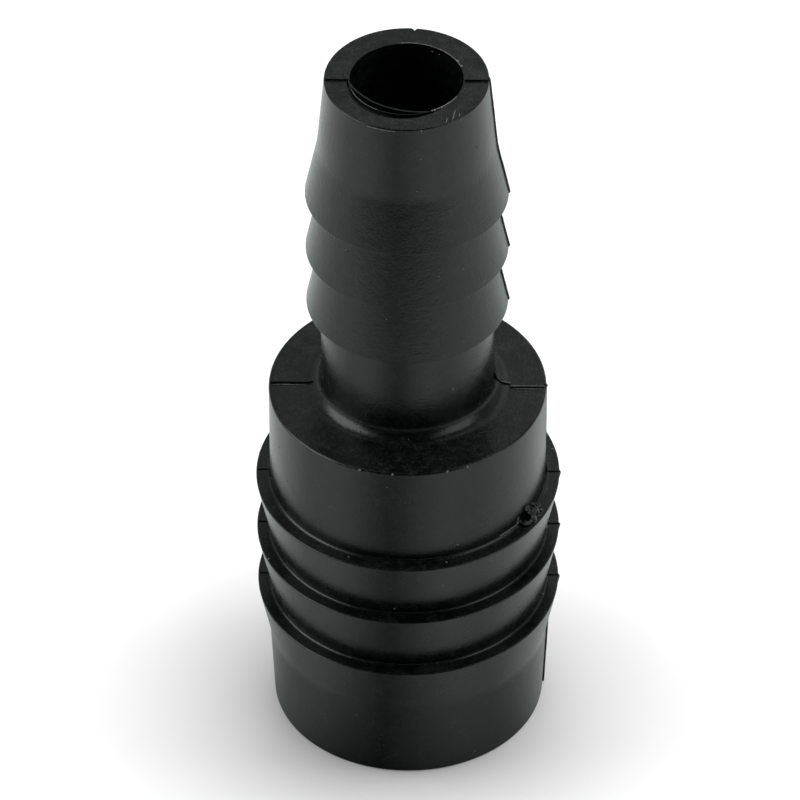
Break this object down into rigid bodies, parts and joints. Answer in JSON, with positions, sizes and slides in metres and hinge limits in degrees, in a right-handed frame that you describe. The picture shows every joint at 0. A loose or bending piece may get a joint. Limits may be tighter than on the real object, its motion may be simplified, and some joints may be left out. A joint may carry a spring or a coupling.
{
  "type": "hose barb reducer",
  "caption": "Straight moulded reducer that joins a wide hose to a narrow one, with a barbed tail at each end and a plain collar between them.",
  "frame": {"origin": "centre of the flat end of the wide tail, on the axis", "axes": "+Z along the axis, from the wide tail's open end up to the narrow tail's rim; the mould parts on the XZ plane; -Y is the side the picture shows"},
  "size_m": [0.0343, 0.0342, 0.0881],
  "materials": {
    "black_plastic": "satin, slightly polished by the mould"
  },
  "bodies": {
    "root": {"hose_reducer": "black_plastic"}
  },
  "joints": []
}
